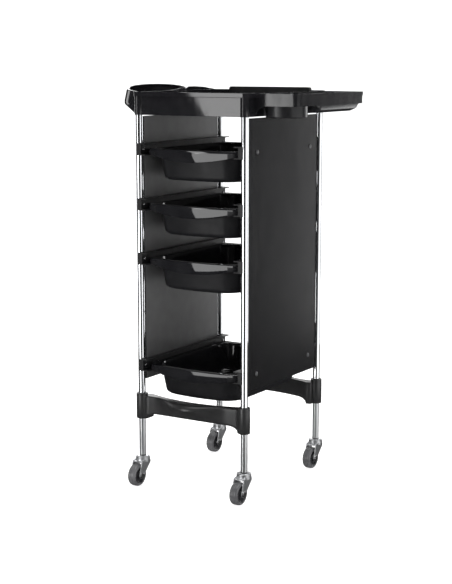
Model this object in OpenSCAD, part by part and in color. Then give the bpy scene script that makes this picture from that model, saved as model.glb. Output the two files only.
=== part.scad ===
// Spa trolley cart: four tubular posts on casters, bolted side panels, sliding trays on
// channel rails, and a moulded top with an accessory bowl and a side shelf.
// Millimetres, +Z up, front towards -Y, origin on the floor under the middle of the model.

/* [Frame] */
// Distance between the left and right post centres
post_dx = 268; // [264:1:300]
// Distance between the front and rear post centres
post_dy = 330; // [322:1:360]
// Outside diameter of the upright posts
post_d = 16; // [15.5:0.5:16.5]
// Outside diameter of the legs below the crossbars
leg_d = 15; // [14:0.5:15]
// Wall thickness of the posts and legs
tube_wall = 1.2; // [1:0.1:1.5]
// Height of the leg ends above the floor
leg_foot = 66; // [66:1:72]
// Height of the crossbar collars' lower ends
collar_foot = 153.5; // [140:0.5:155]
// Length of the crossbar collars
collar_h = 58; // [56:1:64]

/* [Crossbars] */
// Height of the crossbars' top faces
bar_top = 205.5; // [204:0.5:208]
// How far the middle of a crossbar bulges outwards
bar_bulge = 38; // [20:1:42]
// Height of the crossbars' lower edges
bar_foot = 166; // [163:0.5:170]

/* [Rails and trays] */
// Height of the lowest tray rim
first_level = 277; // [277:1:281]
// Distance between tray positions
level_pitch = 120; // [110:1:120]
// Height of a channel rail
rail_h = 26; // [24:1:28]
// Depth of a tray below its rim
tray_depth = 66; // [50:1:67]
// Front to back length of a tray rim
tray_len = 328; // [300:1:330]
// How far the tray front bows forwards
tray_bow = 13; // [8:1:16]
// How far the front lip hangs down in the middle
lip_drop = 24.5; // [18:0.5:28]
// Wall thickness of the trays
tray_wall = 2.5; // [2:0.1:3]

/* [Side panels] */
// Thickness of a side panel
panel_t = 5; // [4:0.5:5]
// Height of the panels' lower edges
panel_foot = 241.5; // [240:0.5:250]
// Height of the panels' upper edges
panel_top = 828; // [810:1:829]

/* [Top] */
// Height of the apron's lower edge
apron_foot = 831; // [830:1:836]
// Height of the overhanging rim's lower edge
rim_foot = 871; // [870:0.5:872]
// Height of the rim's top
rim_top = 880.5; // [879:0.5:882]
// Overhang of the rim outside the apron
rim_over = 8; // [7:0.5:9]
// Radius of the accessory bowl at its lip
bowl_lip_r = 69.5; // [66:0.5:71]
// Largest radius of the accessory bowl
bowl_max_r = 75.5; // [73:0.5:77]
// Width of the side shelf from the apron outwards
shelf_w = 103; // [100:1:110]
// Front to back length of the side shelf
shelf_len = 307; // [290:1:310]
// Bore radius of the dryer ring under the side shelf
ring_r = 41; // [38:0.5:42]

/* [Casters] */
// Radius of a caster wheel
wheel_r = 25; // [24:0.5:25]
// Width of a caster wheel
wheel_w = 20; // [18:0.5:20]
// Horizontal distance from swivel axis to wheel axle
caster_trail = 24; // [22:0.5:25]
// Radius of the wheel axle
axle_r = 4; // [3:0.5:4]

/* [Hidden] */
$fn = 64;
fine = 720;
slip = 0.05;
post_r = post_d / 2;
leg_r = leg_d / 2;
post_x = post_dx / 2;
post_y = post_dy / 2;

// name, side of the middle in x, side of the middle in y
CORNERS = [
    ["front_left", -1, -1],
    ["front_right", 1, -1],
    ["rear_right", 1, 1],
    ["rear_left", -1, 1],
];
SIDES = [["left", -1], ["right", 1]];
ENDS = [["front", -1], ["rear", 1]];
// name and position number of each tray, counted upwards: position 1 is left free
TRAYS = [["bottom", 0], ["middle", 2], ["upper", 3], ["top", 4]];
LEVELS = [0:4];
PANEL_LEVELS = [0, 4];

function level_z(k) = first_level + k * level_pitch;

// Crossbars
collar_r = 13;
collar_top = collar_foot + collar_h;
post_foot = collar_foot + 29;
leg_top = collar_foot + 26;
bar_half = post_x - collar_r;
bar_back = post_y - 24;
bar_back_bow = 24;
bar_face = post_y + 3;
bar_swell_half = 100;
bar_shoulder = 14;
bar_blend = 12;
bar_blend_x = bar_half - 7;
bar_haunch_x = 95;
bar_haunch = bar_half - 2 - bar_haunch_x;
set_screw_z = collar_foot + 10;
set_screw_r = 2.5;

// Rails: the web's outer face touches the inner side of the posts
rail_back = post_x - post_r;
rail_web = 2.5;
rail_flange = 2.2;
rail_tip = rail_back - 13.5;
rail_len = post_dy + 20;
saddle_w = 20;
panel_in = post_x + 2 - panel_t;
panel_out = post_x + 2;
panel_half = post_y - 14;
panel_screw_y = 117;
boss_r = 7;
rail_screw_r = 1.6;
panel_screw_r = 2;

// Trays
tray_half = rail_back - rail_web - 2.5;
tray_front = -(post_y + 8);
tray_back = tray_front + tray_len;
tray_bow_r = (pow(tray_half, 2) + pow(tray_bow, 2)) / (2 * tray_bow);
tray_rim_up = 1.5;
tray_rim_t = 2.5;
tray_skirt = rail_h / 2 - rail_flange - 0.3;
tray_body_inset = 12;
tray_body_r = 40;
lip_half = rail_tip - 0.4;
lip_r = (pow(lip_half, 2) + pow(lip_drop - tray_skirt, 2)) / (2 * (lip_drop - tray_skirt));

// Top
apron_x = post_x + 4;
apron_y = post_y + 3;
apron_wall = 3;
sleeve_r = 9.5;
deck_z = 863;
deck_t = 3;
post_top = deck_z + 4.5;
rim_x = apron_x + rim_over;
rim_y = apron_y + rim_over;
rim_inner = 7;
guard_z = 888.5;
low_rim_z = 876;

// Accessory bowl on the left
bowl_x = -(apron_x + 54);
bowl_y = -9;
bowl_floor_r = 51;
bowl_foot = 826;
bowl_cone_z = 844.5;
bowl_waist_z = 853;
bowl_wall = 3;
bowl_lip_z = 885;
bowl_lip_tilt = 7.5;
bowl_lip_turn = 35;

// Side shelf on the right
shelf_x1 = apron_x + shelf_w;
shelf_y0 = -132;
shelf_y1 = shelf_y0 + shelf_len;
shelf_foot = 853;
shelf_top = 879;
shelf_deck = 868;
shelf_wall = 3;
shelf_r = 12;
shelf_lip = 1.5;
shelf_joint = 0.2;
gusset_w = 30;
gusset_h = 18;
gusset_r = (pow(gusset_w, 2) + pow(gusset_h, 2)) / (2 * gusset_h);
ring_x = apron_x + shelf_w / 2;
ring_y = shelf_y0 + ring_r + 3.5;
ring_wall = 3.25;
ring_foot = 829;
well_y0 = ring_y + ring_r + 10.5;
well_y1 = shelf_y1 - 5;
well_x0 = apron_x + 11;
well_x1 = shelf_x1 - 5;
well_r = 14;
well_foot = 837;

// Push rail on the rear rim
grip_half = 107;
grip_y0 = post_y + 0.5;
grip_seat = 872.5;
grip_top = 887;
grip_screw_x = 90;
grip_screw_y = post_y + 7;
shelf_screw_r = 2;
shelf_screw_z = 858;
shelf_screws_at = [[1, -20], [1, 120], [-1, bowl_y - 35], [-1, bowl_y + 35]];

// Casters
pin_r = 4;
race_r = 13;
race_foot = 60;
crown_z = wheel_r * 2 + 2.5;
crown_t = 3;
head_r = 16;
ball_r = 2.6;
ball_ring_r = 9;
ball_count = 10;
ball_z = (crown_z + crown_t + race_foot) / 2;
fork_gap = wheel_w / 2 + 1.2;
fork_t = 2;
hub_r = 18.5;
run_fit = 0.06;

// The model's own box, which puts the origin under its middle
x_mid = (shelf_x1 + shelf_lip + bowl_x - bowl_max_r) / 2;
y_mid = (bar_face + bar_bulge - post_y - caster_trail - wheel_r) / 2;

// ---- shared shapes ----

module centred() translate([-x_mid, -y_mid, 0]) children();

module at_corner(c) centred() translate([c[1] * post_x, c[2] * post_y, 0]) children();

module on_side(s) centred() mirror([s < 0 ? 1 : 0, 0, 0]) children();

// Rectangle from low to high with true round corners
module rounded_rect(low, high, r) {
    translate([low[0] + r, low[1]]) square([high[0] - low[0] - 2 * r, high[1] - low[1]]);
    translate([low[0], low[1] + r]) square([high[0] - low[0], high[1] - low[1] - 2 * r]);
    for (x = [low[0] + r, high[0] - r], y = [low[1] + r, high[1] - r])
        translate([x, y]) circle(r);
}

module slab(z0, z1) translate([0, 0, z0]) linear_extrude(z1 - z0) children();

module tube(r_out, r_in, z0, z1) difference() {
    translate([0, 0, z0]) cylinder(r = r_out, h = z1 - z0);
    translate([0, 0, z0 - 1]) cylinder(r = r_in, h = z1 - z0 + 2);
}

// Cylinder along +X or -X, starting at x0
module x_rod(r, x0, x1) translate([x0, 0, 0]) rotate([0, 90, 0]) cylinder(r = r, h = x1 - x0);

module at_posts() for (c = CORNERS) translate([c[1] * post_x, c[2] * post_y, 0]) children();

// ---- frame ----

module post(c) color("silver") at_corner(c) difference() {
    tube(post_r, post_r - tube_wall, post_foot, post_top);
    for (k = LEVELS) translate([0, 0, level_z(k)]) rotate([0, -90 * c[1], 0])
        cylinder(r = rail_screw_r + slip, h = post_d);
}

module leg(c) color("silver") at_corner(c)
    tube(leg_r, leg_r - tube_wall, leg_foot + 2, leg_top);

module leg_insert(c) color("#202022") at_corner(c) {
    tube(leg_r, pin_r + slip, leg_foot, leg_foot + 2);
    tube(leg_r - tube_wall - slip, pin_r + slip, leg_foot + 2, leg_foot + 36);
}

// Distance of the bar's outer face from the middle of the trolley
function bar_swell(x) =
    abs(x) < bar_swell_half ? bar_bulge * pow(cos(90 * x / bar_swell_half), 2) : 0;
function bar_fillet(x) =
    bar_blend - sqrt(pow(bar_blend, 2) - pow(max(0, abs(x) - bar_blend_x), 2));
function bar_outer(x) = bar_face + bar_swell(x) + bar_fillet(x);
function bar_inner(x) = bar_back + bar_back_bow * max(0, 1 - pow(x / bar_half, 2));
function bar_under(x) = collar_foot - 1 + (bar_foot - collar_foot + 1)
    * sqrt(max(0, 1 - pow(max(0, abs(x) - bar_haunch_x) / bar_haunch, 2)));

module crossbar(e) color("#161618") centred() mirror([0, e < 0 ? 1 : 0, 0]) difference() {
    steps = 60;
    reach = bar_half + 2.5;
    xs = [for (i = [0:steps]) reach * (2 * i / steps - 1)];
    union() {
        difference() {
            slab(collar_foot, bar_top) {
                polygon(concat(
                    [for (x = xs) [x, bar_inner(x)]],
                    [for (i = [steps:-1:0]) [xs[i], bar_outer(xs[i])]]
                ));
                for (x = [-bar_half, bar_half]) translate([x, (bar_back + bar_face) / 2])
                    circle((bar_face - bar_back) / 2);
            }
            translate([-bar_swell_half, 0, 0]) rotate([90, 0, 90]) linear_extrude(2 * bar_swell_half)
                polygon([
                    [bar_face, bar_foot],
                    [bar_face + bar_bulge, bar_top - bar_shoulder],
                    [bar_face + bar_bulge + 1, bar_top - bar_shoulder],
                    [bar_face + bar_bulge + 1, collar_foot - 1],
                    [bar_face, collar_foot - 1]
                ]);
            translate([0, post_y + 100, 0]) rotate([90, 0, 0]) linear_extrude(200) polygon(concat(
                [[-reach, collar_foot - 2]],
                [for (x = xs) [x, bar_under(x)]],
                [[reach, collar_foot - 2]]
            ));
        }
        for (x = [-post_x, post_x]) translate([x, post_y, collar_foot])
            cylinder(r = collar_r, h = collar_h);
    }
    for (s = [-1, 1]) translate([s * post_x, post_y, 0]) {
        translate([0, 0, post_foot]) cylinder(r = post_r + slip, h = collar_h);
        translate([0, 0, collar_foot - 1]) cylinder(r = leg_r + slip, h = leg_top - collar_foot + 1);
        translate([0, 0, set_screw_z]) rotate([0, 90 * s, 0])
            cylinder(r = set_screw_r + slip, h = collar_r + 1);
    }
}

module set_screws() color("silver") centred() at_posts_sideways() difference() {
    x_rod(set_screw_r, leg_r + 2 * slip, collar_r + 0.4);
    x_rod(1.3, collar_r - 2, collar_r + 1);
}

// Puts its child at each collar's set screw, pointing away from the trolley
module at_posts_sideways() for (c = CORNERS)
    translate([c[1] * post_x, c[2] * post_y, set_screw_z]) mirror([c[1] < 0 ? 1 : 0, 0, 0]) children();

// ---- side panels and rails ----

module side_panel(s) color("#101012") on_side(s) difference() {
    translate([panel_in, -panel_half, panel_foot])
        cube([panel_t, 2 * panel_half, panel_top - panel_foot]);
    for (k = PANEL_LEVELS, y = [-1, 1]) translate([0, y * panel_screw_y, level_z(k)])
        x_rod(panel_screw_r + slip, panel_in - 1, panel_out + 1);
}

module panel_screws() color("#303034") for (s = [-1, 1], k = PANEL_LEVELS, y = [-1, 1])
    on_side(s) translate([0, y * panel_screw_y, level_z(k)]) {
        x_rod(panel_screw_r, rail_back - rail_web + 1, panel_out + 0.5);
        translate([panel_out, 0, 0]) rotate([0, 90, 0]) rotate_extrude() intersection() {
            square([5.5, 3]);
            translate([0, -6.3]) circle(8.5);
        }
    }

module rail(s, k) color("#161618") on_side(s) translate([0, 0, level_z(k)]) difference() {
    union() {
        translate([rail_tip, -rail_len / 2, -rail_h / 2])
            cube([rail_back - rail_tip, rail_len, rail_h]);
        for (y = [-1, 1]) {
            translate([rail_back - 1, y * post_y - saddle_w / 2, -rail_h / 2])
                cube([post_r + 1, saddle_w, rail_h]);
            translate([0, y * panel_screw_y, 0]) x_rod(boss_r, rail_back - 1, panel_in);
        }
    }
    translate([rail_tip - 1, -rail_len / 2 - 1, -rail_h / 2 + rail_flange])
        cube([rail_back - rail_tip - rail_web + 1, rail_len + 2, rail_h - 2 * rail_flange]);
    for (y = [-1, 1]) {
        translate([post_x, y * post_y, -rail_h]) cylinder(r = post_r + slip, h = 2 * rail_h);
        translate([0, y * post_y, 0]) x_rod(rail_screw_r + slip, rail_tip, post_x);
        translate([0, y * panel_screw_y, 0]) x_rod(panel_screw_r + slip, rail_tip, post_x);
    }
}

module rail_screws() color("silver") for (s = [-1, 1], t = TRAYS, y = [-1, 1])
    on_side(s) translate([0, y * post_y, level_z(t[1])]) {
        x_rod(rail_screw_r, rail_back - rail_web - 0.5, rail_back + 4);
        x_rod(3.4, rail_back - rail_web - 1.9, rail_back - rail_web);
    }

// ---- trays ----

// Rim outline: straight sides and a bowed front
module tray_outline(inset, r) intersection() {
    rounded_rect([-tray_half + inset, tray_front + inset], [tray_half - inset, tray_back - inset], r);
    translate([0, tray_front + tray_bow_r]) circle(tray_bow_r - inset, $fn = fine);
}

// The bowl below the rim, as one closed form that narrows towards its floor
module tray_form(inset, floor_z) {
    body = tray_body_inset + inset;
    hull() {
        slab(-1, tray_rim_up) tray_outline(body, tray_body_r - inset, $fn = 32);
        slab(floor_z + 10, floor_z + 11) tray_outline(body + 7, tray_body_r - inset, $fn = 32);
        slab(floor_z, floor_z + 1) tray_outline(body + 15, tray_body_r - inset - 8, $fn = 32);
    }
}

module tray(k) color("#0e0e10") centred() translate([0, 0, level_z(k)]) difference() {
    union() {
        slab(tray_rim_up - tray_rim_t, tray_rim_up) tray_outline(0, 18);
        slab(-tray_skirt, tray_rim_up) difference() {
            tray_outline(0, 18);
            tray_outline(tray_rim_t, 16);
        }
        front_lip();
        tray_form(0, -tray_depth);
    }
    translate([0, 0, 0.01]) tray_form(tray_wall, -tray_depth + tray_wall);
    slab(0, tray_rim_up + 1) tray_outline(tray_body_inset + tray_wall, tray_body_r - tray_wall);
}

// Hanging front lip, deepest in the middle
module front_lip() intersection() {
    slab(-lip_drop - 1, 0) difference() {
        tray_outline(0, 18);
        tray_outline(tray_rim_t, 16);
    }
    translate([-lip_half, tray_front - 1, -lip_drop - 2]) cube([2 * lip_half, 30, lip_drop + 2]);
    translate([0, 0, lip_r - lip_drop]) rotate([90, 0, 0])
        cylinder(r = lip_r, h = 600, center = true, $fn = fine);
}

// ---- top ----

module top_outline(grow, r)
    rounded_rect([-apron_x - grow, -apron_y - grow], [apron_x + grow, apron_y + grow], r);

module top_tray() color("#0e0e10") centred() difference() {
    union() {
        slab(apron_foot, rim_foot) {
            top_outline(0, 3);
            at_posts() circle(sleeve_r);
        }
        slab(rim_foot, rim_top) top_outline(rim_over, 12);
        translate([-rim_x, 0, 0]) rotate([90, 0, 90]) linear_extrude(4.5)
            polygon([[18, rim_top - 1], [45, guard_z], [72, guard_z],
                     [110, guard_z - 2], [rim_y - 8, rim_top - 1]]);
    }
    translate([apron_x - rim_inner - 1, 0, 0]) rotate([90, 0, 90]) linear_extrude(rim_inner + rim_over + 2)
        polygon([[-146, rim_top + 1], [-136, low_rim_z], [150, low_rim_z], [160, rim_top + 1]]);
    translate([-grip_half - shelf_joint, apron_y - rim_inner - 1, grip_seat])
        cube([2 * (grip_half + shelf_joint), rim_inner + rim_over + 2, 20]);
    slab(apron_foot - 1, deck_z) difference() {
        top_outline(-apron_wall, 2);
        at_posts() circle(sleeve_r);
    }
    slab(deck_z + deck_t, guard_z + 1) difference() {
        top_outline(-rim_inner, 6);
        at_posts() circle(sleeve_r + 1);
    }
    at_posts() translate([0, 0, apron_foot - 1])
        cylinder(r = post_r + slip, h = post_top - apron_foot + 1.1);
    for (p = shelf_screws_at) translate([p[0] * (apron_x - 2), p[1], shelf_screw_z])
        x_rod(shelf_screw_r + slip, -3, 3);
    for (x = [-grip_screw_x, grip_screw_x]) translate([x, grip_screw_y, rim_foot - 1])
        cylinder(r = shelf_screw_r + slip, h = 20);
}

// Outer or inner half profile of the bowl: flat floor, cone, round waist, drawn-in side
function bowl_profile(t) = [
    [0, bowl_foot + t],
    [bowl_floor_r - t / 2, bowl_foot + t],
    [bowl_max_r - 5 - t, bowl_cone_z + t / 2],
    [bowl_max_r - 2.4 - t, bowl_cone_z + 2.5 + t / 3],
    [bowl_max_r - 0.7 - t, bowl_cone_z + 5.5],
    [bowl_max_r - t, bowl_waist_z],
    [bowl_max_r - 0.3 - t, bowl_waist_z + 6],
    [bowl_lip_r - t, bowl_lip_z],
    [bowl_lip_r - 1 - t, bowl_lip_z + 12],
    [0, bowl_lip_z + 12]
];

// Everything outside the top tray, with its overhanging rim, and a gap away from it
module left_of_top(gap) {
    translate([-400, -200, 0]) cube([400 - apron_x - gap, 400, rim_foot - gap]);
    translate([-400, -200, 0]) cube([400 - rim_x - gap, 400, 1000]);
}

module accessory_bowl() color("#0e0e10") centred() difference() {
    intersection() {
        translate([bowl_x, bowl_y, 0]) rotate_extrude($fn = 128) polygon(bowl_profile(0));
        left_of_top(shelf_joint);
    }
    intersection() {
        translate([bowl_x, bowl_y, 0]) rotate_extrude($fn = 128) polygon(bowl_profile(bowl_wall));
        left_of_top(shelf_joint + bowl_wall);
    }
    translate([bowl_x, bowl_y, bowl_lip_z]) rotate([0, 0, bowl_lip_turn]) rotate([bowl_lip_tilt, 0, 0])
        translate([-150, -150, 0]) cube([300, 300, 50]);
    for (y = [-35, 35]) translate([0, bowl_y + y, shelf_screw_z])
        x_rod(shelf_screw_r + slip, -apron_x - 8, -apron_x + 1);
}

// Shelf outline from x0 outwards, with round outer corners
module shelf_outline(x0, grow) intersection() {
    rounded_rect([0, shelf_y0 - grow], [shelf_x1 + grow, shelf_y1 + grow], shelf_r + grow);
    translate([x0, -300]) square([400, 600]);
}

// Rounded well behind the dryer ring: a block that narrows to its floor
module shelf_well(inset, floor_z, top_z) hull() {
    slab(floor_z + 16, top_z) well_outline(inset);
    slab(floor_z + 6, floor_z + 7) well_outline(inset + 4);
    slab(floor_z, floor_z + 1) well_outline(inset + 14);
}

module well_outline(inset) rounded_rect(
    [well_x0 + inset, well_y0 + inset], [well_x1 - inset, well_y1 - inset], well_r + 2, $fn = 32);

module side_shelf() color("#0e0e10") centred() difference() {
    union() {
        difference() {
            union() {
                slab(shelf_foot, rim_foot - shelf_joint) shelf_outline(apron_x + shelf_joint, 0);
                slab(rim_foot - shelf_joint, shelf_top) shelf_outline(rim_x + shelf_joint, shelf_lip);
            }
            slab(shelf_foot - 1, shelf_deck)
                shelf_outline(apron_x + shelf_joint + shelf_wall, -shelf_wall);
        }
        translate([ring_x, ring_y, ring_foot]) rotate_extrude($fn = 128) {
            square([ring_r, shelf_deck - ring_foot + 1]);
            translate([0, ring_wall]) square([ring_r + ring_wall, shelf_deck - ring_foot + 1 - ring_wall]);
            translate([ring_r, ring_wall]) circle(ring_wall);
        }
        shelf_well(0, well_foot, shelf_deck + 1);
        shelf_gusset();
    }
    slab(shelf_deck + 3, shelf_top + 1) shelf_outline(rim_x + 4, -4);
    translate([ring_x, ring_y, ring_foot - 1]) cylinder(r = ring_r, h = 60, $fn = 128);
    shelf_well(shelf_wall, well_foot + shelf_wall, shelf_top + 1);
    at_posts() cylinder(r = sleeve_r + shelf_joint, h = rim_foot);
    for (p = shelf_screws_at) if (p[0] > 0) translate([0, p[1], shelf_screw_z])
        x_rod(shelf_screw_r + slip, apron_x - 1, apron_x + 8);
}

// Curved brace where the shelf's front face meets the apron
module shelf_gusset() translate([apron_x + shelf_joint, shelf_y0 + shelf_wall, shelf_foot])
    rotate([90, 0, 0]) linear_extrude(shelf_wall) difference() {
        translate([0, -gusset_h]) square([gusset_w, gusset_h + 0.5]);
        translate([gusset_w, -gusset_r]) circle(gusset_r, $fn = 128);
    }

module shelf_screws() color("silver") centred() for (p = shelf_screws_at)
    translate([0, p[1], shelf_screw_z]) mirror([p[0] < 0 ? 1 : 0, 0, 0]) {
        x_rod(shelf_screw_r, apron_x - apron_wall - 1, apron_x + 3);
        x_rod(3.5, apron_x - apron_wall - 2, apron_x - apron_wall);
    }

module push_rail() color("#161618") centred() difference() {
    translate([0, rim_y, 0]) rotate([90, 0, 0]) linear_extrude(rim_y - grip_y0)
        rounded_rect([-grip_half, grip_seat], [grip_half, grip_top], 5);
    for (x = [-grip_screw_x, grip_screw_x]) translate([x, grip_screw_y, grip_seat - 1])
        cylinder(r = shelf_screw_r + slip, h = 8);
}

module push_rail_screws() color("silver") centred() for (x = [-grip_screw_x, grip_screw_x])
    translate([x, grip_screw_y, rim_foot]) {
        cylinder(r = shelf_screw_r, h = grip_seat - rim_foot + 6);
        translate([0, 0, -2]) cylinder(r = 3.5, h = 2);
    }

// ---- casters ----

module ball_track(r) translate([0, 0, ball_z]) rotate_extrude() translate([ball_ring_r, 0]) circle(r);

module swivel_pin(c) color("silver") at_corner(c) difference() {
    union() {
        translate([0, 0, crown_z - 3]) cylinder(r = pin_r, h = leg_foot + 32 - crown_z + 3);
        translate([0, 0, race_foot]) cylinder(r = race_r, h = leg_foot - race_foot);
        translate([0, 0, crown_z - 3]) cylinder(r = 6.5, h = 2.7);
    }
    ball_track(ball_r + 0.1);
}

module swivel_balls() color("silver") for (c = CORNERS, i = [0:ball_count - 1])
    at_corner(c) rotate([0, 0, i * 360 / ball_count]) translate([ball_ring_r, 0, ball_z]) sphere(ball_r);

// Side plate outline in the trail direction and height
module fork_side() hull() {
    translate([-caster_trail, wheel_r]) circle(8);
    translate([-18, crown_z + 0.5]) circle(5);
    translate([6, crown_z - 0.5]) circle(6);
}

module fork(c) color("#c8c8cc") at_corner(c) difference() {
    union() {
        translate([0, 0, crown_z]) cylinder(r = head_r, h = leg_foot - 1 - crown_z);
        translate([-fork_gap - fork_t, -21, crown_z]) cube([2 * (fork_gap + fork_t), 21, crown_t]);
        for (x = [-fork_gap - fork_t, fork_gap]) translate([x, 0, 0]) rotate([90, 0, 90])
            linear_extrude(fork_t) fork_side();
    }
    translate([0, 0, crown_z + crown_t]) cylinder(r = head_r - 2, h = 20);
    ball_track(ball_r + 0.1);
    translate([0, 0, crown_z - 5]) cylinder(r = pin_r + run_fit, h = 40);
    translate([0, -caster_trail, wheel_r]) x_rod(axle_r + slip, -30, 30);
}

module at_axle(c) at_corner(c) translate([0, -caster_trail, wheel_r]) children();

module axle(c) color("silver") at_axle(c) {
    side = fork_gap + fork_t;
    x_rod(axle_r, -side - 2, side + 1);
    x_rod(6.5, side, side + 2.6);
    translate([-side - 3.6, 0, 0]) rotate([0, 90, 0]) cylinder(r = 6.6, h = 3.6, $fn = 6);
}

module wheel_hub(c) color("#101012") at_axle(c) rotate([0, 90, 0]) rotate_extrude($fn = 96) polygon([
    [axle_r + run_fit, -wheel_w / 2 - 0.7], [9, -wheel_w / 2 - 0.7], [9, -wheel_w / 2 + 3],
    [hub_r - 2.5, -wheel_w / 2 + 3], [hub_r - 2.5, -wheel_w / 2 + 0.5], [hub_r, -wheel_w / 2 + 0.5],
    [hub_r, wheel_w / 2 - 0.5], [hub_r - 2.5, wheel_w / 2 - 0.5], [hub_r - 2.5, wheel_w / 2 - 3],
    [9, wheel_w / 2 - 3], [9, wheel_w / 2 + 0.7], [axle_r + run_fit, wheel_w / 2 + 0.7]
]);

module tyre(c) color("#8a8a8c") at_axle(c) rotate([0, 90, 0]) rotate_extrude($fn = 96)
    difference() {
        rounded_rect([hub_r - 5, -wheel_w / 2], [wheel_r, wheel_w / 2], 5);
        translate([0, -wheel_w]) square([hub_r + slip, 2 * wheel_w]);
    }

// ---- parts ----

for (c = CORNERS) {
    post(c);
    leg(c);
    leg_insert(c);
    swivel_pin(c);
    fork(c);
    axle(c);
    wheel_hub(c);
    tyre(c);
}
for (e = ENDS) crossbar(e[1]);
for (s = SIDES) {
    side_panel(s[1]);
    for (t = TRAYS) rail(s[1], t[1]);
}
for (t = TRAYS) tray(t[1]);
set_screws();  // collar_set_screws
panel_screws();
rail_screws();
top_tray();
accessory_bowl();
side_shelf();
shelf_screws();
push_rail();
push_rail_screws();
swivel_balls();
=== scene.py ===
"""Looks for the spa trolley cart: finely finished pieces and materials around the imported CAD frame."""

import math

import bmesh
import bpy
from mathutils import Matrix, Vector


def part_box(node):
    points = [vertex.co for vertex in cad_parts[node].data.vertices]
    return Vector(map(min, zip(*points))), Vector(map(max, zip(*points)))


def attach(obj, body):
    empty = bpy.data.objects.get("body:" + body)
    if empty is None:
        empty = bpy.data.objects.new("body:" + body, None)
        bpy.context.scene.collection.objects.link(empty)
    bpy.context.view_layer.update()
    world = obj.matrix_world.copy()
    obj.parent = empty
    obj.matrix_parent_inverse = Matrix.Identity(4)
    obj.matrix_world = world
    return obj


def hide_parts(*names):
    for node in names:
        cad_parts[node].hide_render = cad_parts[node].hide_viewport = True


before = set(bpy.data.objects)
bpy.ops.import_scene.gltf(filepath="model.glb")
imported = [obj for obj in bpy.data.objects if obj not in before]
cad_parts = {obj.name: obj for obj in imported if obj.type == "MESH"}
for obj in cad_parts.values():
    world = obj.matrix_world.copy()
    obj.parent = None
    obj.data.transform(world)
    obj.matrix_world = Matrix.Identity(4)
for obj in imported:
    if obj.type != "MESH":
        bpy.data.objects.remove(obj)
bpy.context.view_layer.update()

MM = 0.001
CORNERS = ("front_left", "front_right", "rear_right", "rear_left")
TRAYS = ("bottom", "middle", "upper", "top")
SIDES = {"left": -1, "right": 1}
ENDS = {"front": -1, "rear": 1}
DECK_Z = 866 * MM


def centre(node):
    """The middle of a CAD node's box."""
    low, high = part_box(node)
    return (low + high) / 2


# ---- node helpers ----

def new_material(name):
    material = bpy.data.materials.new(name)
    material.use_nodes = True
    tree = material.node_tree
    return material, tree, tree.nodes["Principled BSDF"]


def noise(tree, coords, scale, detail, stretch=(1, 1, 1)):
    mapping = tree.nodes.new("ShaderNodeMapping")
    mapping.inputs["Scale"].default_value = stretch
    texture = tree.nodes.new("ShaderNodeTexNoise")
    texture.inputs["Scale"].default_value = scale
    texture.inputs["Detail"].default_value = detail
    tree.links.new(coords, mapping.inputs["Vector"])
    tree.links.new(mapping.outputs["Vector"], texture.inputs["Vector"])
    return texture.outputs["Fac"]


def spread(tree, value, low, high):
    """Maps a noise value's usual range, 0.3 to 0.7, to low..high."""
    ranged = tree.nodes.new("ShaderNodeMapRange")
    ranged.inputs["From Min"].default_value = 0.3
    ranged.inputs["From Max"].default_value = 0.7
    ranged.inputs["To Min"].default_value = low
    ranged.inputs["To Max"].default_value = high
    tree.links.new(value, ranged.inputs["Value"])
    return ranged.outputs["Result"]


def mixed_colour(tree, factor, first, second):
    """Blends two colours over the middle of a noise value's range."""
    ramp = tree.nodes.new("ShaderNodeValToRGB")
    ramp.color_ramp.elements[0].position = 0.35
    ramp.color_ramp.elements[1].position = 0.65
    ramp.color_ramp.elements[0].color = (*first, 1)
    ramp.color_ramp.elements[1].color = (*second, 1)
    tree.links.new(factor, ramp.inputs["Fac"])
    return ramp.outputs["Color"]


def bump(tree, shader, height, strength, depth):
    node = tree.nodes.new("ShaderNodeBump")
    node.inputs["Strength"].default_value = strength
    node.inputs["Distance"].default_value = depth
    tree.links.new(height, node.inputs["Height"])
    tree.links.new(node.outputs["Normal"], shader.inputs["Normal"])


def object_coords(tree):
    return tree.nodes.new("ShaderNodeTexCoord").outputs["Object"]


# ---- materials ----

def plastic(name, colour, dust, rough, rough_spread, grain, grain_depth):
    """Moulded plastic: cloudy gloss, a little dust in the colour and a fine moulded grain."""
    material, tree, shader = new_material(name)
    coords = object_coords(tree)
    clouds = noise(tree, coords, 35.0, 5.0)
    tree.links.new(mixed_colour(tree, clouds, colour, dust), shader.inputs["Base Color"])
    smears = noise(tree, coords, 90.0, 6.0, (1, 1, 0.35))
    roughness = spread(tree, smears, rough - rough_spread, rough + rough_spread)
    tree.links.new(roughness, shader.inputs["Roughness"])
    bump(tree, shader, noise(tree, coords, grain, 2.0), 0.25, grain_depth)
    return material


def dulled(material, level):
    """Lowers how much a plastic mirrors its surroundings."""
    material.node_tree.nodes["Principled BSDF"].inputs["Specular IOR Level"].default_value = level
    return material


def metal(name, colour, tint, rough, rough_spread, stretch, scale, depth):
    """Metal with drawn or blasted grain, stretched along the part."""
    material, tree, shader = new_material(name)
    shader.inputs["Metallic"].default_value = 1.0
    coords = object_coords(tree)
    drawn = noise(tree, coords, scale, 4.0, stretch)
    tree.links.new(mixed_colour(tree, drawn, colour, tint), shader.inputs["Base Color"])
    roughness = spread(tree, drawn, rough - rough_spread, rough + rough_spread)
    tree.links.new(roughness, shader.inputs["Roughness"])
    bump(tree, shader, drawn, 0.2, depth)
    return material


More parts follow.
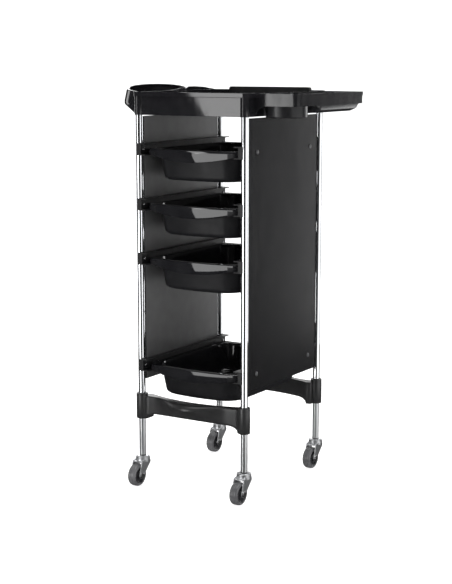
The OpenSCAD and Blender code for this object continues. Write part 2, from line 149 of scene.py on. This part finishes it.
GLOSS = plastic("gloss_black", (0.006, 0.006, 0.007), (0.009, 0.009, 0.010), 0.045, 0.015, 900, 1e-6)
SHELF_PLASTIC = plastic("shelf_black", (0.006, 0.006, 0.007), (0.009, 0.009, 0.010), 0.17, 0.03, 900, 3e-6)
BAR_PLASTIC = plastic("bar_black", (0.014, 0.014, 0.0145), (0.018, 0.018, 0.0185), 0.34, 0.03, 1500, 6e-6)
SATIN = dulled(
    plastic("satin_black", (0.006, 0.006, 0.0065), (0.010, 0.010, 0.0105), 0.42, 0.05, 2200, 1e-5), 0.3)
TRAY_BODY = dulled(
    plastic("tray_body_black", (0.007, 0.007, 0.008), (0.010, 0.010, 0.011), 0.4, 0.04, 1500, 5e-6), 0.2)
DECK = dulled(
    plastic("grained_black_deck", (0.009, 0.009, 0.010), (0.014, 0.014, 0.015), 0.42, 0.04, 900, 1e-5), 0.3)
RING_BODY = plastic(
    "ring_body_black", (0.006, 0.006, 0.007), (0.009, 0.009, 0.010), 0.3, 0.03, 900, 3e-6)
BOARD = plastic("board_outside", (0.006, 0.006, 0.0065), (0.0065, 0.0065, 0.007), 0.2, 0.02, 2600, 3e-6)
# Painted sheen: the inner face's lighter colour stands in for reflected light and is not the board's own
# colour.
BOARD_PAINTED_SHEEN = plastic("board_inside_painted_sheen", (0.062, 0.062, 0.063), (0.075, 0.075, 0.076), 0.34, 0.05, 2600, 1e-5)
NYLON = plastic("insert_nylon", (0.02, 0.02, 0.021), (0.03, 0.03, 0.031), 0.5, 0.06, 1800, 5e-5)
HUB = plastic("hub_nylon", (0.012, 0.012, 0.014), (0.022, 0.022, 0.024), 0.26, 0.06, 1500, 3e-5)
TREAD = plastic("grey_tread", (0.06, 0.06, 0.063), (0.1, 0.1, 0.104), 0.24, 0.08, 1200, 4e-5)
CHROME = metal("chrome_tube", (0.82, 0.83, 0.85), (0.76, 0.77, 0.79), 0.06, 0.02, (1, 1, 0.05), 300, 4e-6)
DRAWN = metal("drawn_tube", (0.84, 0.85, 0.86), (0.78, 0.79, 0.80), 0.33, 0.04, (1, 1, 0.04), 700, 3e-6)
ZINC = metal("zinc_plate", (0.86, 0.87, 0.88), (0.76, 0.77, 0.79), 0.40, 0.07, (1, 1, 1), 160, 1e-5)
STEEL = metal("screw_steel", (0.74, 0.74, 0.75), (0.64, 0.64, 0.65), 0.2, 0.05, (1, 1, 1), 800, 1e-5)
DARK_STEEL = metal("screw_dark", (0.2, 0.2, 0.205), (0.14, 0.14, 0.145), 0.3, 0.06, (1, 1, 1), 900, 1e-5)


# ---- mesh helpers ----

def add_piece(name, mesh, material, body, slot, *nodes):
    """Puts a visible piece on a body, in place of the CAD nodes it stands for."""
    piece = bpy.data.objects.new(name, mesh)
    bpy.context.scene.collection.objects.link(piece)
    piece.data.materials.clear()
    piece.data.materials.append(material)
    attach(piece, body)
    if nodes:
        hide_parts(*nodes)
    return piece


def smooth(mesh, angle=32):
    mesh.shade_smooth()
    mesh.set_sharp_from_angle(angle=math.radians(angle))


def loft_into(bm, rings, first_cap=True, last_cap=True, closed=False):
    """Adds a skin through rings of equally many points; closed joins the last ring to the first."""
    loops = [[bm.verts.new(p) for p in ring] for ring in rings]
    pairs = list(zip(loops, loops[1:])) + ([(loops[-1], loops[0])] if closed else [])
    for lower, upper in pairs:
        for i in range(len(lower)):
            j = (i + 1) % len(lower)
            bm.faces.new((lower[i], lower[j], upper[j], upper[i]))
    if first_cap and not closed:
        bm.faces.new(reversed(loops[0]))
    if last_cap and not closed:
        bm.faces.new(loops[-1])


def finished_mesh(bm, name, angle=32):
    bmesh.ops.recalc_face_normals(bm, faces=bm.faces)
    mesh = bpy.data.meshes.new(name)
    bm.to_mesh(mesh)
    bm.free()
    smooth(mesh, angle)
    return mesh


def loft(name, rings, first_cap=True, last_cap=True):
    bm = bmesh.new()
    loft_into(bm, rings, first_cap, last_cap)
    return finished_mesh(bm, name)


def lathe_into(bm, profile, middle, axis="Z", sides=64):
    """Adds a body turned round an axis from a closed profile of (radius, distance along the axis)."""
    rings = []
    for radius, along in profile:
        ring = []
        for i in range(sides):
            a = radius * math.cos(math.tau * i / sides)
            b = radius * math.sin(math.tau * i / sides)
            ring.append(middle + (Vector((along, a, b)) if axis == "X" else Vector((a, b, along))))
        rings.append(ring)
    loft_into(bm, rings, closed=True)


def screw_into(bm, seat, outwards, shank_r, shank_length, head_r, head_height, slot_half, slot_depth):
    """Adds a domed screw with a cross recess; outwards is +1 or -1 along X."""
    sides, dome_steps, dome_start = 32, 9, 6
    tip_r = 0.00001
    profile = [(-shank_length, 0.4 * shank_r), (-shank_length, shank_r), (0, shank_r), (0, head_r * 0.97)]
    for k in range(dome_steps + 1):
        turn = math.radians(dome_start + (90 - dome_start) * k / dome_steps)
        profile.append((head_height * math.sin(turn), head_r * math.cos(turn) + tip_r))
    rings = []
    for along, radius in profile:
        ring = []
        for i in range(sides):
            a = radius * math.cos(math.tau * i / sides)
            b = radius * math.sin(math.tau * i / sides)
            depth = 0
            if along > 0.3 * head_height and min(abs(a), abs(b)) < slot_half and radius < 0.7 * head_r:
                depth = slot_depth * (1 - radius / (0.75 * head_r))
            ring.append(seat + Vector((outwards * (along - depth), a, b)))
        rings.append(ring)
    loft_into(bm, rings)


FLAT_ANGLE = 0.6
EDGE_ANGLE = 35


def round_edges(piece, width, segments, clamp):
    """Rounds every edge sharper than EDGE_ANGLE and keeps the flats between them flat."""
    bevel = piece.modifiers.new("round_edges", "BEVEL")
    bevel.width = width
    bevel.segments = segments
    bevel.limit_method = "ANGLE"
    bevel.angle_limit = math.radians(EDGE_ANGLE)
    bevel.use_clamp_overlap = clamp
    bevel.loop_slide = False
    weighted = piece.modifiers.new("flat_faces_stay_flat", "WEIGHTED_NORMAL")
    weighted.mode = "FACE_AREA"
    weighted.weight = 100
    weighted.keep_sharp = True


def softened(node, name, material, body, slot, width, segments=3, split=True, clamp=False,
             merge=0.003 * MM):
    """A copy of a CAD piece with its flats merged and every sharp edge rounded.

    Points closer than merge are joined first, so that no rounding runs wild at a tiny edge.
    Flats with a hole in them are split again, except where split is False. With clamp, no
    rounding runs past a neighbouring edge, which thin walls need.
    """
    bm = bmesh.new()
    bm.from_mesh(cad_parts[node].data)
    bmesh.ops.remove_doubles(bm, verts=bm.verts, dist=merge)
    bmesh.ops.dissolve_limit(bm, angle_limit=math.radians(FLAT_ANGLE), verts=bm.verts, edges=bm.edges)
    if split:
        bmesh.ops.triangulate(bm, faces=[face for face in bm.faces if len(face.verts) > 4])
    mesh = bpy.data.meshes.new(name)
    bm.to_mesh(mesh)
    bm.free()
    smooth(mesh)
    piece = add_piece(name, mesh, material, body, slot, node)
    round_edges(piece, width, segments, clamp)
    return piece


def paint(node, material):
    """Shows a CAD node as it is, in a finished material."""
    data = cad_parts[node].data
    data.materials.clear()
    data.materials.append(material)


# ---- camera, light and stage ----

def make_camera():
    camera = bpy.data.objects.new("camera", bpy.data.cameras.new("camera"))
    bpy.context.scene.collection.objects.link(camera)
    camera.location = (1.6474, -2.67295, 0.9476)
    camera.rotation_euler = (math.radians(79.062), 0, math.radians(31.627))
    camera.data.sensor_width = 36
    camera.data.lens = 86.1
    camera.data.shift_y = 0.065
    bpy.context.scene.camera = camera


def softbox(name, place, target, width, height, power, tilt=0):
    """A rectangular area light facing its target; tilt turns it about its own axis."""
    light = bpy.data.lights.new(name, "AREA")
    light.shape = "RECTANGLE"
    light.size = width
    light.size_y = height
    light.energy = power
    lamp = bpy.data.objects.new(name, light)
    bpy.context.scene.collection.objects.link(lamp)
    lamp.location = place
    facing = (Vector(target) - Vector(place)).to_track_quat("-Z", "Y").to_matrix()
    lamp.rotation_euler = (facing @ Matrix.Rotation(math.radians(tilt), 3, "Z")).to_euler()


def make_light():
    """Cards that the chrome and the gloss mirror, broad fills for the other sides, and a dim world."""
    softbox("apron_card", (-0.933, -1.924, 0.86), (0.03, -0.168, 0.86), 0.31, 0.5, 2.8, 28)
    softbox("left_card", (-0.545, -2.06, 0.16), (0, 0, 0.16), 1.06, 0.96, 14)
    softbox("right_card", (2.4, 0.0, 0.1), (0, 0, 0.1), 3.1, 1.3, 20)
    softbox("overhead", (0.2, 0.1, 2.9), (0, 0, 0), 2.6, 2.6, 70)
    softbox("rear_left_fill", (-2.2, 2.4, 0.5), (0, 0, 0.5), 1.0, 1.6, 12)
    softbox("rear_right_fill", (0.9, 3.0, 0.5), (0, 0, 0.5), 1.0, 1.6, 14)
    softbox("left_fill", (-3.0, 0.3, 0.6), (0, 0, 0.5), 0.8, 1.8, 10)
    softbox("rear_card", (-1.55, 2.6, 1.75), (0, 0, 0.85), 2.6, 0.8, 24)
    world = bpy.data.worlds.new("studio")
    world.use_nodes = True
    world.node_tree.nodes["Background"].inputs["Color"].default_value = (0.04, 0.04, 0.04, 1)
    bpy.context.scene.world = world


def stage_mesh(name, rings):
    mesh = loft(name, rings, True, False)
    obj = bpy.data.objects.new(name, mesh)
    bpy.context.scene.collection.objects.link(obj)
    return obj


def make_stage():
    """A pale floor that sweeps up into a pale round backdrop; neither shows in the gloss."""
    material, tree, shader = new_material("pale_sweep")
    shader.inputs["Base Color"].default_value = (0.62, 0.62, 0.62, 1)
    shader.inputs["Roughness"].default_value = 0.9
    shader.inputs["Emission Color"].default_value = (1, 1, 1, 1)
    shader.inputs["Emission Strength"].default_value = 0.72
    radius, rise, sides = 5.0, 2.0, 96
    steps, wall_top = 8, 8.0
    profile = [(1.0, 0.0), (radius, 0.0)]
    for step in range(1, steps + 1):
        turn = math.radians(step * 90 / steps)
        profile.append((radius + rise * math.sin(turn), rise - rise * math.cos(turn)))
    profile.append((radius + rise, wall_top))
    turns = [math.tau * i / sides for i in range(sides)]
    rings = [[Vector((r * math.cos(turn), r * math.sin(turn), z)) for turn in turns] for r, z in profile]
    sweep = stage_mesh("floor_sweep", rings)
    sweep.data.materials.append(material)
    sweep.visible_glossy = False


# ---- trays ----

def rounded_ring(half_x, front, back, radius, corner_steps=12, side_steps=18):
    """Points round a rounded rectangle, counter-clockwise from the rear right corner."""
    points = []
    corners = (
        (half_x - radius, back - radius, 0),
        (-half_x + radius, back - radius, 90),
        (-half_x + radius, front + radius, 180),
        (half_x - radius, front + radius, 270),
    )
    for index, (cx, cy, start) in enumerate(corners):
        arc = [
            (cx + radius * math.cos(math.radians(start + 90 * s / corner_steps)),
             cy + radius * math.sin(math.radians(start + 90 * s / corner_steps)))
            for s in range(corner_steps + 1)
        ]
        points += arc
        nx, ny, nstart = corners[(index + 1) % 4]
        turn = math.radians(nstart)
        goal = (nx + radius * math.cos(turn), ny + radius * math.sin(turn))
        last = arc[-1]
        points += [
            (last[0] + (goal[0] - last[0]) * s / side_steps, last[1] + (goal[1] - last[1]) * s / side_steps)
            for s in range(1, side_steps)
        ]
    return points


def tray_mesh(name, low, high):
    """One moulded tray: dished body, flat rim, hanging skirt and a smiling front lip."""
    half = (high.x - low.x) / 2
    middle = (high.x + low.x) / 2
    rim = high.z
    floor = low.z
    bow = 13 * MM
    lip_low = rim - 26 * MM
    skirt_low = rim - 12 * MM
    lip_half = half - 9 * MM
    lip_zone = low.y + bow + 24 * MM
    flange = 12 * MM
    wall = 2.5 * MM

    def ring(inset, radius, z, hang=0.0):
        """hang 1 puts the ring on the skirt's lower edge, which dips along the front."""
        reach = half - inset
        points = []
        for x, y in rounded_ring(reach, low.y + bow + inset, high.y - inset, radius):
            share = 1 - (x / reach) ** 2
            if y < (low.y + high.y) / 2:
                y -= bow * share
            height = z
            if hang:
                edge = skirt_low
                if y < lip_zone and abs(x) < lip_half:
                    edge -= (skirt_low - lip_low) * (1 - (x / lip_half) ** 2)
                height = edge + z
            points.append(Vector((middle + x, y, height)))
        return points

    def arc(inset, z, size, start, end, radius, steps=4):
        """Rings round a small fillet whose centre is at that inset and height."""
        return [
            ring(inset - size * math.cos(math.radians(a)), radius, z + size * math.sin(math.radians(a)))
            for a in (start + (end - start) * s / steps for s in range(steps + 1))
        ]

    soft = 8 * MM
    inner = flange + wall
    body_r = 38 * MM
    rim_r, skirt_r = 18 * MM, 17 * MM
    floor_inset, floor_r = 60 * MM, 14 * MM
    inner_foot = inner + 9 * MM
    outer_foot = flange + 9 * MM
    rings = [
        ring(floor_inset, floor_r, floor + wall),
        ring(inner_foot + soft + 4 * MM, body_r - 14 * MM, floor + wall),
    ]
    rings += arc(inner_foot + soft, floor + wall + soft, soft, -90, 0, body_r - 8 * MM, 6)
    rings += [
        ring(inner + 1 * MM, body_r - 2 * MM, rim - 8 * MM),
        ring(inner + 0.2 * MM, body_r - 1 * MM, rim - 2.5 * MM),
        ring(inner - 0.4 * MM, body_r - 1 * MM, rim - 1.0 * MM),
        ring(inner - 1.4 * MM, body_r - 1 * MM, rim - 0.3 * MM),
        ring(inner - 2.8 * MM, body_r - 1 * MM, rim - 0.1 * MM),
        ring(3.2 * MM, skirt_r, rim),
    ]
    rings += arc(1.6 * MM, rim - 1.6 * MM, 1.6 * MM, 90, 0, rim_r)
    rings += [
        ring(0, rim_r, rim - 5 * MM),
        ring(0, rim_r, 1.2 * MM, 1),
        ring(0.35 * MM, rim_r, 0.35 * MM, 1),
        ring(1.2 * MM, rim_r, 0.0001 * MM, 1),
        ring(2.1 * MM, skirt_r, 0.35 * MM, 1),
        ring(2.5 * MM, skirt_r, 1.2 * MM, 1),
        ring(2.5 * MM, skirt_r, rim - 4 * MM),
        ring(4.0 * MM, skirt_r, rim - 2.5 * MM),
        ring(flange - 1.5 * MM, body_r, rim - 2.5 * MM),
        ring(flange, body_r, rim - 4 * MM),
    ]
    rings += arc(outer_foot + soft + wall, floor + soft + wall, soft + wall, 0, -90, body_r - 6 * MM, 6)
    rings += [ring(floor_inset, floor_r, floor)]
    return loft(name, rings)


for tray in TRAYS:
    low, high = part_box("tray_" + tray)
    piece = add_piece(
        "moulded_tray_" + tray, tray_mesh("moulded_tray_" + tray, low, high),
        GLOSS, "drawer_" + tray, "gloss_black", "tray_" + tray,
    )
    # The body's outside under the rim is duller than the rim, the lip and the inside.
    piece.data.materials.append(TRAY_BODY)
    middle = (low + high) / 2
    for face in piece.data.polygons:
        out = face.center - middle
        inset = min((high.x - low.x) / 2 - abs(out.x), high.y - face.center.y, face.center.y - low.y)
        outside = face.normal.x * out.x + face.normal.y * out.y > 0 or face.normal.z < -0.5
        face.material_index = 1 if outside and inset > 8 * MM and face.center.z < high.z - 5 * MM else 0

# ---- crossbars ----

COLLAR_PROFILE = (
    (7.56, 0), (11.6, 0), (12.6, 0.4), (13, 1.4), (13, 56.6), (12.7, 57.6), (12.0, 58),
    (9.0, 58), (8.4, 57.8), (8.06, 57.2), (8.06, 29), (7.56, 29),
)


def bar_mesh(name, end):
    """A crossbar whose face flares from a straight lower edge to a swollen, rounded top edge."""
    low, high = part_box("crossbar_" + end)
    posts = [centre(f"post_{end}_left"), centre(f"post_{end}_right")]
    outwards = ENDS[end]
    middle = (centre("post_front_left") + centre("post_rear_right")) / 2
    post_x = (posts[1].x - posts[0].x) / 2
    post_y = abs(posts[0].y - middle.y)
    foot, top = low.z, high.z - 6 * MM
    straight_foot = foot + 12.5 * MM
    face, back = post_y + 3 * MM, post_y - 24 * MM
    swell_max = abs((high if outwards > 0 else low).y - middle.y) - face
    swell_half = 100 * MM
    collar_r = 13 * MM
    half = post_x - collar_r
    fillet_r = 12 * MM
    haunch_start, haunch_run = 95 * MM, 24 * MM
    soft = 1.0 * MM

    def section(u):
        span = abs(u)
        swell = swell_max * math.cos(math.pi * u / (2 * swell_half)) ** 2 if span < swell_half else 0
        blend = fillet_r - math.sqrt(fillet_r ** 2 - min(9.6 * MM, max(0, span - half + 7 * MM)) ** 2)
        base = face + blend
        inner = back + 24 * MM * max(0, 1 - (u / half) ** 2)
        if span > half:
            bulge = math.sqrt(max(0, (13.5 * MM) ** 2 - (span - half) ** 2))
            inner = (back + face) / 2 - bulge
        if span > half + 2.6 * MM:
            base -= 2 * (span - half - 2.6 * MM)
        haunch = min(1, max(0, span - haunch_start) / haunch_run)
        under = foot + (straight_foot - foot) * math.sqrt(1 - haunch ** 2)
        outer = base + swell
        shoulder = 3.5 * MM + 7 * MM * swell / swell_max
        points = [(inner, under + soft), (inner + 0.3 * soft, under + 0.3 * soft), (inner + soft, under),
                  (base - soft, under), (base - 0.3 * soft, under + 0.3 * soft), (base, under + soft)]
        for k in range(1, 7):
            share = k / 7
            points.append((base + swell * share, under + soft + (top - shoulder - under - soft) * share))
        for k in range(9):
            turn = math.radians(90 * k / 8)
            points.append((outer - shoulder * (1 - math.cos(turn)), top - shoulder * (1 - math.sin(turn))))
        points += [(inner + soft, top), (inner + 0.3 * soft, top - 0.3 * soft), (inner, top - soft)]
        return [Vector((middle.x + u, middle.y + outwards * v, z)) for v, z in points]

    stations = [haunch_start * k / 24 for k in range(25)]
    stations += [haunch_start + haunch_run * math.sin(math.radians(90 * k / 12)) for k in range(1, 13)]
    stations += [half + k * 1.3 * MM for k in range(9)]
    stations = [-u for u in reversed(stations[1:])] + stations
    bm = bmesh.new()
    loft_into(bm, [section(u) for u in stations])
    for post in posts:
        collar = [(r * MM, foot + z * MM) for r, z in COLLAR_PROFILE]
        lathe_into(bm, collar, Vector((post.x, post.y, 0)), sides=72)
    return finished_mesh(bm, name, 40)


for end in ENDS:
    name = "moulded_bar_" + end
    add_piece(name, bar_mesh(name, end), BAR_PLASTIC, "frame", "gloss_black", "crossbar_" + end)

# ---- top, panels and rails ----

def bowl_lip_mesh(name):
    """The rolled lip that follows the bowl's tilted rim from the front round to the rear."""
    low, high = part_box("accessory_bowl")
    radius, roll = 69.5 * MM, 3 * MM
    start, sweep, heading, lean = 50, 260, 35, 7.5
    steps, sides = 72, 12
    middle = Vector((low.x + 75.5 * MM, (low.y + high.y) / 2, high.z - 9.07 * MM))
    tilt = Matrix.Rotation(math.radians(heading), 3, "Z") @ Matrix.Rotation(math.radians(lean), 3, "X")
    bm = bmesh.new()
    rings = []
    for k in range(steps + 1):
        around = math.radians(start + sweep * k / steps - heading)
        ring = []
        for i in range(sides):
            turn = math.tau * i / sides
            reach = radius - roll + roll * math.cos(turn)
            lift = roll / 2 * (math.sin(turn) - 1)
            ring.append(middle + tilt @ Vector((reach * math.cos(around), reach * math.sin(around), lift)))
        rings.append(ring)
    loft_into(bm, rings)
    return finished_mesh(bm, name, 60)


# The deck inside the rim is grained, and duller than the rest of the top.
top = softened("top_tray", "moulded_top", GLOSS, "frame", "gloss_black", 0.6 * MM, 4, merge=0.5 * MM)
top.data.materials.append(DECK)
for face in top.data.polygons:
    if face.normal.z > 0.99 and abs(face.center.z - DECK_Z) < 0.5 * MM:
        face.material_index = 1
softened("accessory_bowl", "moulded_bowl", GLOSS, "frame", "gloss_black", 1.2 * MM, 4)
add_piece("rolled_bowl_lip", bowl_lip_mesh("rolled_bowl_lip"), GLOSS, "frame", "gloss_black")

# The dryer ring's outer wall under the shelf is duller than the shelf.
shelf = softened(
    "side_shelf", "moulded_shelf", SHELF_PLASTIC, "frame", "gloss_black", 1.3 * MM, 4, clamp=True)
shelf.data.materials.append(RING_BODY)
ring_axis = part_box("side_shelf")[0] + Vector((51.3, 46, 0)) * MM
ring_top = ring_axis.z + 39 * MM
for face in shelf.data.polygons:
    from_axis = (face.center.xy - ring_axis.xy).length
    if 43 * MM < from_axis < 45 * MM and abs(face.normal.z) < 0.9 and face.center.z < ring_top:
        face.material_index = 1

softened("push_rail", "push_bar", SATIN, "frame", "satin_black", 1.6 * MM, 4, clamp=True)

# The panels' inner face gets a painted sheen: a lighter colour than their outer face and edges, standing in
# for the light the board mirrors there.
for side, outwards in SIDES.items():
    node = "side_panel_" + side
    panel = softened(node, "faced_panel_" + side, BOARD, "frame", "black_board", 0.6 * MM, split=False)
    panel.data.materials.append(BOARD_PAINTED_SHEEN)
    for face in panel.data.polygons:
        face.material_index = 1 if face.normal.x * outwards < -0.9 else 0
    for tray in TRAYS:
        node = f"rail_{side}_{tray}"
        softened(node, "channel_" + node, SATIN, "frame", "satin_black", 0.35 * MM, 2, clamp=True)

# ---- tubes and casters ----

TYRE_PROFILE = (
    (18.56, -9.3), (18.9, -9.8), (19.8, -10), (21.4, -9.75), (22.9, -9.0), (24.0, -7.8),
    (24.65, -6.2), (24.9, -4.4), (25, -2.6), (24.75, -2.3), (24.75, -1.9), (25, -1.6),
    (25, 1.6), (24.75, 1.9), (24.75, 2.3), (25, 2.6), (24.9, 4.4), (24.65, 6.2),
    (24.0, 7.8), (22.9, 9.0), (21.4, 9.75), (19.8, 10), (18.9, 9.8), (18.56, 9.3),
)
HUB_PROFILE = (
    (4.06, -10.3), (4.5, -10.7), (6.4, -10.7), (7.0, -10.3), (7.3, -7.4), (8.2, -6.7),
    (12.6, -6.4), (14.6, -6.9), (15.4, -8.9), (16.0, -9.4), (17.9, -9.4), (18.5, -8.9),
    (18.5, 8.9), (17.9, 9.4), (16.0, 9.4), (15.4, 8.9), (14.6, 6.9), (12.6, 6.4),
    (8.2, 6.7), (7.3, 7.4), (7.0, 10.3), (6.4, 10.7), (4.5, 10.7), (4.06, 10.3),
)


def turned(name, profile, middle, material, body, slot, node):
    """A piece turned round the wheel's axis from a profile in millimetres."""
    bm = bmesh.new()
    lathe_into(bm, [(r * MM, x * MM) for r, x in profile], middle, "X", 96)
    return add_piece(name, finished_mesh(bm, name, 50), material, body, slot, node)


for corner in CORNERS:
    paint("post_" + corner, CHROME)
    paint("leg_" + corner, DRAWN)
    paint("leg_insert_" + corner, NYLON)
    wheel = "caster_wheel_" + corner
    hub = centre("tyre_" + corner)
    turned("ribbed_tyre_" + corner, TYRE_PROFILE, hub, TREAD, wheel, "grey_tread", "tyre_" + corner)
    turned("dished_hub_" + corner, HUB_PROFILE, hub, HUB, wheel, "hub_plastic", "wheel_hub_" + corner)
    fork = "caster_fork_" + corner
    softened("fork_" + corner, "pressed_fork_" + corner, ZINC, fork, "plated_steel", 0.8 * MM, 3)
    softened("axle_" + corner, "bolt_" + corner, STEEL, fork, "plated_steel", 0.5 * MM, 3)
    softened("swivel_pin_" + corner, "race_" + corner, ZINC, "frame", "plated_steel", 0.5 * MM, 3)

# ---- screws ----

bm = bmesh.new()
for side, outwards in SIDES.items():
    low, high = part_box("side_panel_" + side)
    face = high.x if outwards > 0 else low.x
    for tray in ("bottom", "top"):
        for along in (-117 * MM, 117 * MM):
            seat = Vector((face, (low.y + high.y) / 2 + along, centre(f"rail_{side}_{tray}").z))
            screw_into(bm, seat, outwards, 2 * MM, 14 * MM, 5.4 * MM, 2.1 * MM, 0.75 * MM, 1.3 * MM)
screws = finished_mesh(bm, "domed_panel_screws", 28)
add_piece("domed_panel_screws", screws, DARK_STEEL, "frame", "dark_screw", "panel_screws")

bm = bmesh.new()
for side, outwards in SIDES.items():
    for tray in TRAYS:
        low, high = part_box(f"rail_{side}_{tray}")
        for end in ENDS:
            post = centre(f"post_{end}_{side}")
            seat = Vector((post.x - outwards * 10.5 * MM, post.y, (low.z + high.z) / 2))
            screw_into(bm, seat, -outwards, 1.6 * MM, 6 * MM, 3.4 * MM, 1.9 * MM, 0.5 * MM, 1.1 * MM)
screws = finished_mesh(bm, "domed_rail_screws", 28)
add_piece("domed_rail_screws", screws, STEEL, "frame", "plated_steel", "rail_screws")

for node in ("collar_set_screws", "shelf_screws", "push_rail_screws", "swivel_balls"):
    paint(node, STEEL)

make_camera()
make_light()
make_stage()
bpy.context.scene.view_settings.view_transform = "Standard"
